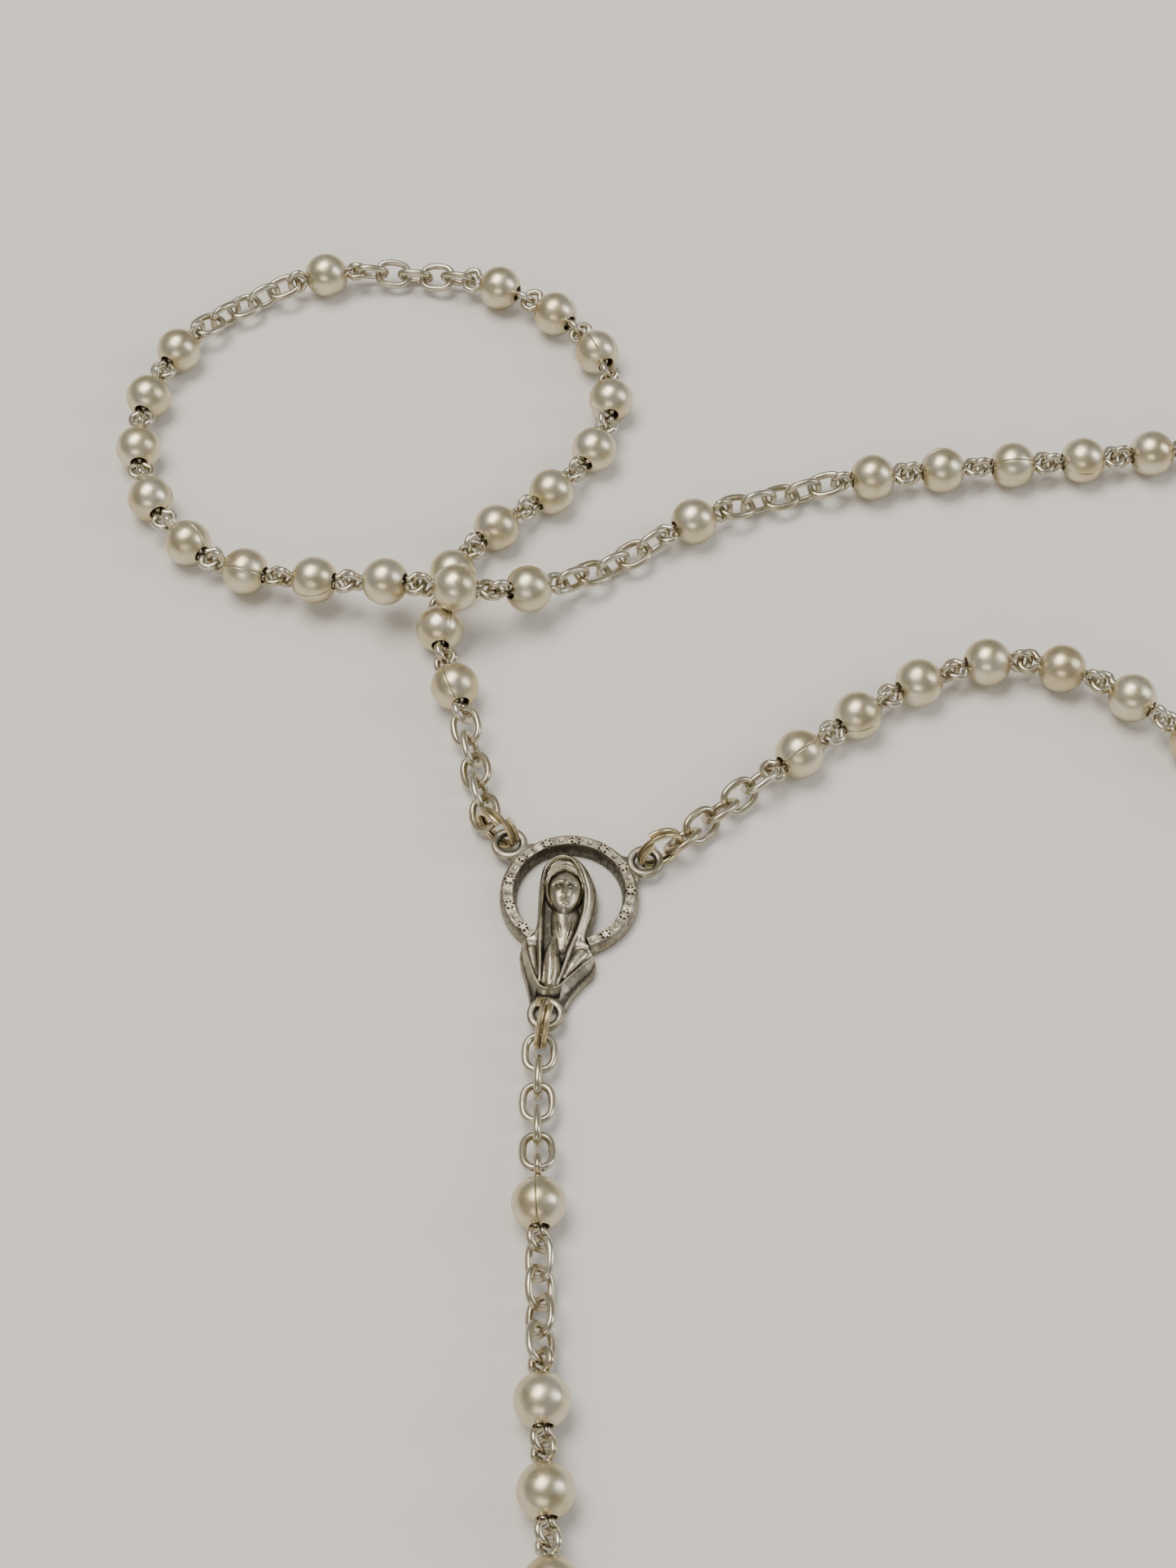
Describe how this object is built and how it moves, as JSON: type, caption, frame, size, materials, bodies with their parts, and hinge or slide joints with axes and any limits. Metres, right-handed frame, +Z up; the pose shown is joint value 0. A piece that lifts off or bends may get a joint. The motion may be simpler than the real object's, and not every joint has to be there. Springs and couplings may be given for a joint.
{
  "type": "rosary",
  "caption": "Rosary of hollow metal beads on a soldered link chain, with a veiled-figure centre medal, a pendant and a crucifix, laid flat.",
  "frame": {"origin": "middle of the medal's halo, on its flat back, which is the surface that the rosary lies on", "axes": "+Z up from that surface, -Y along the pendant, +X to the side where most of the loop lies"},
  "size_m": [0.2479, 0.2577, 0.0112],
  "materials": {
    "bead_metal": "satin champagne-silver plate on rolled metal",
    "chain_wire": "bright silver-plated wire",
    "brass_wire": "pale worn brass wire",
    "antique_silver": "cast, oxidised dark in the hollows and rubbed bright on the high spots"
  },
  "bodies": {
    "medal": {"centre_medal": "antique_silver"},
    "ring_pendant": {"ring_pendant": "brass_wire"},
    "chain_link_01": {"chain_link_01": "chain_wire"},
    "chain_link_02": {"chain_link_02": "chain_wire"},
    "chain_link_03": {"chain_link_03": "chain_wire"},
    "chain_link_04": {"chain_link_04": "chain_wire"},
    "chain_link_05": {"chain_link_05": "chain_wire"},
    "our_father_bead_1": {"our_father_bead_1": "bead_metal", "our_father_bead_1_core_link": "chain_wire", "our_father_bead_1_lower_link": "chain_wire", "our_father_bead_1_upper_link": "chain_wire"},
    "chain_link_06": {"chain_link_06": "chain_wire"},
    "chain_link_07": {"chain_link_07": "chain_wire"},
    "chain_link_08": {"chain_link_08": "chain_wire"},
    "chain_link_09": {"chain_link_09": "chain_wire"},
    "hail_mary_bead_1": {"hail_mary_bead_1": "bead_metal", "hail_mary_bead_1_core_link": "chain_wire", "hail_mary_bead_1_lower_link": "chain_wire", "hail_mary_bead_1_upper_link": "chain_wire"},
    "hail_mary_bead_2": {"hail_mary_bead_2": "bead_metal", "hail_mary_bead_2_core_link": "chain_wire", "hail_mary_bead_2_lower_link": "chain_wire", "hail_mary_bead_2_upper_link": "chain_wire"},
    "hail_mary_bead_3": {"hail_mary_bead_3": "bead_metal", "hail_mary_bead_3_core_link": "chain_wire", "hail_mary_bead_3_lower_link": "chain_wire", "hail_mary_bead_3_upper_link": "chain_wire"},
    "chain_link_10": {"chain_link_10": "chain_wire"},
    "chain_link_11": {"chain_link_11": "chain_wire"},
    "chain_link_12": {"chain_link_12": "chain_wire"},
    "our_father_bead_2": {"our_father_bead_2": "bead_metal", "our_father_bead_2_core_link": "chain_wire", "our_father_bead_2_lower_link": "chain_wire", "our_father_bead_2_upper_link": "chain_wire"},
    "chain_link_13": {"chain_link_13": "chain_wire"},
    "chain_link_14": {"chain_link_14": "chain_wire"},
    "ring_crucifix": {"ring_crucifix": "brass_wire"},
    "crucifix": {"cross": "antique_silver", "corpus": "antique_silver"},
    "ring_left": {"ring_left": "brass_wire"},
    "ring_right": {"ring_right": "brass_wire"},
    "arm_1": {"loop_chain_01": "chain_wire", "decade_1": "bead_metal"},
    "arm_2": {"loop_chain_02": "chain_wire", "our_father_bead_3": "bead_metal", "loop_chain_03": "chain_wire", "decade_2": "bead_metal"},
    "arm_3": {"loop_chain_04": "chain_wire", "our_father_bead_4": "bead_metal", "loop_chain_05": "chain_wire", "decade_3": "bead_metal"},
    "arm_5": {"loop_chain_10": "chain_wire", "decade_5": "bead_metal"},
    "arm_4": {"loop_chain_09": "chain_wire", "our_father_bead_6": "bead_metal", "loop_chain_08": "chain_wire", "decade_4": "bead_metal", "loop_chain_07": "chain_wire", "our_father_bead_5": "bead_metal", "loop_chain_06": "chain_wire"}
  },
  "joints": [
    {"name": "ring_pendant_swing", "type": "hinge", "parent": "medal", "child": "ring_pendant", "pos_m": [-0.00286, -0.01807, 0.0016], "axis": [-0.9877, 0.1564, 0], "range_deg": [-45, 10]},
    {"name": "chain_link_01_swing", "type": "hinge", "parent": "ring_pendant", "child": "chain_link_01", "pos_m": [-0.0033, -0.02084, 0.00212], "axis": [0, 0, -1], "range_deg": [-25, 25]},
    {"name": "chain_link_02_swing", "type": "hinge", "parent": "chain_link_01", "child": "chain_link_02", "pos_m": [-0.00333, -0.02379, 0.00212], "axis": [0.9992, -0.0409, 0], "range_deg": [-40, 40]},
    {"name": "chain_link_03_swing", "type": "hinge", "parent": "chain_link_02", "child": "chain_link_03", "pos_m": [-0.00343, -0.02694, 0.00212], "axis": [0, 0, -1], "range_deg": [-40, 40]},
    {"name": "chain_link_04_swing", "type": "hinge", "parent": "chain_link_03", "child": "chain_link_04", "pos_m": [-0.00343, -0.03009, 0.00212], "axis": [-1, 0.0054, 0], "range_deg": [-40, 40]},
    {"name": "chain_link_05_swing", "type": "hinge", "parent": "chain_link_04", "child": "chain_link_05", "pos_m": [-0.00336, -0.03323, 0.00257], "axis": [-0.002, 0.1198, 0.9928], "range_deg": [-40, 40]},
    {"name": "our_father_bead_1_swing", "type": "hinge", "parent": "chain_link_05", "child": "our_father_bead_1", "pos_m": [-0.00326, -0.03638, 0.00309], "axis": [0.9995, 0.0305, 0], "range_deg": [-40, 40]},
    {"name": "chain_link_06_swing", "type": "hinge", "parent": "our_father_bead_1", "child": "chain_link_06", "pos_m": [-0.00296, -0.04583, 0.003], "axis": [0, 0, -1], "range_deg": [-40, 40]},
    {"name": "chain_link_07_swing", "type": "hinge", "parent": "chain_link_06", "child": "chain_link_07", "pos_m": [-0.00289, -0.04897, 0.00241], "axis": [-0.9998, -0.0214, 0], "range_deg": [-40, 40]},
    {"name": "chain_link_08_swing", "type": "hinge", "parent": "chain_link_07", "child": "chain_link_08", "pos_m": [-0.00283, -0.05213, 0.00205], "axis": [0.0025, -0.1197, 0.9928], "range_deg": [-40, 40]},
    {"name": "chain_link_09_swing", "type": "hinge", "parent": "chain_link_08", "child": "chain_link_09", "pos_m": [-0.00275, -0.05527, 0.00257], "axis": [0.9997, 0.0235, 0], "range_deg": [-40, 40]},
    {"name": "hail_mary_bead_1_swing", "type": "hinge", "parent": "chain_link_09", "child": "hail_mary_bead_1", "pos_m": [-0.00266, -0.05842, 0.00309], "axis": [0.0045, -0.1567, -0.9876], "range_deg": [-40, 40]},
    {"name": "hail_mary_bead_2_swing", "type": "hinge", "parent": "hail_mary_bead_1", "child": "hail_mary_bead_2", "pos_m": [-0.00227, -0.06787, 0.003], "axis": [-0.999, -0.0444, 0], "range_deg": [-40, 40]},
    {"name": "hail_mary_bead_3_swing", "type": "hinge", "parent": "hail_mary_bead_2", "child": "hail_mary_bead_3", "pos_m": [-0.00171, -0.0773, 0.003], "axis": [0, 0, 1], "range_deg": [-40, 40]},
    {"name": "chain_link_10_swing", "type": "hinge", "parent": "hail_mary_bead_3", "child": "chain_link_10", "pos_m": [-0.00095, -0.08672, 0.003], "axis": [0.9962, 0.0872, 0], "range_deg": [-40, 40]},
    {"name": "chain_link_11_swing", "type": "hinge", "parent": "chain_link_10", "child": "chain_link_11", "pos_m": [-0.00064, -0.08985, 0.00241], "axis": [-0.0152, 0.156, -0.9876], "range_deg": [-40, 40]},
    {"name": "chain_link_12_swing", "type": "hinge", "parent": "chain_link_11", "child": "chain_link_12", "pos_m": [-0.00029, -0.09299, 0.0025], "axis": [-0.9942, -0.108, 0], "range_deg": [-40, 40]},
    {"name": "our_father_bead_2_swing", "type": "hinge", "parent": "chain_link_12", "child": "our_father_bead_2", "pos_m": [0.00009, -0.09611, 0.00309], "axis": [-0.0186, 0.1557, 0.9876], "range_deg": [-40, 40]},
    {"name": "chain_link_13_swing", "type": "hinge", "parent": "our_father_bead_2", "child": "chain_link_13", "pos_m": [0.00141, -0.10547, 0.003], "axis": [0.989, 0.1476, 0], "range_deg": [-40, 40]},
    {"name": "chain_link_14_swing", "type": "hinge", "parent": "chain_link_13", "child": "chain_link_14", "pos_m": [0.00192, -0.10857, 0.00241], "axis": [-0.0248, 0.1548, -0.9876], "range_deg": [-40, 40]},
    {"name": "ring_crucifix_swing", "type": "hinge", "parent": "chain_link_14", "child": "ring_crucifix", "pos_m": [0.00247, -0.11168, 0.00205], "axis": [0.9851, 0.1719, 0], "range_deg": [-40, 40]},
    {"name": "crucifix_swing", "type": "hinge", "parent": "ring_crucifix", "child": "crucifix", "pos_m": [0.00305, -0.11503, 0.0016], "axis": [0, 0, 1], "range_deg": [-25, 25]},
    {"name": "ring_left_swing", "type": "hinge", "parent": "medal", "child": "ring_left", "pos_m": [-0.00842, 0.00813, 0.0016], "axis": [0.6947, 0.7193, 0], "range_deg": [-45, 10]},
    {"name": "ring_right_swing", "type": "hinge", "parent": "medal", "child": "ring_right", "pos_m": [0.01052, 0.00513, 0.0016], "axis": [0.4384, -0.8988, 0], "range_deg": [-45, 10]},
    {"name": "arm_1_lift", "type": "hinge", "parent": "ring_left", "child": "arm_1", "pos_m": [-0.00976, 0.00897, 0.00212], "axis": [0.9798, 0.2, 0], "range_deg": [-30, 35]},
    {"name": "arm_2_lift", "type": "hinge", "parent": "arm_1", "child": "arm_2", "pos_m": [-0.01459, 0.1017, 0.003], "axis": [0.284, 0.9588, 0], "range_deg": [-60, 0]},
    {"name": "arm_3_lift", "type": "hinge", "parent": "arm_2", "child": "arm_3", "pos_m": [-0.00116, 0.04554, 0.00387], "axis": [0.5271, -0.8498, 0], "range_deg": [-30, 60]},
    {"name": "arm_5_lift", "type": "hinge", "parent": "ring_right", "child": "arm_5", "pos_m": [0.01191, 0.00563, 0.00212], "axis": [0.6772, -0.7358, 0], "range_deg": [-30, 25]},
    {"name": "arm_4_lift", "type": "hinge", "parent": "arm_5", "child": "arm_4", "pos_m": [0.10178, 0.00049, 0.003], "axis": [-0.3911, -0.9203, 0], "range_deg": [-30, 60]}
  ]
}
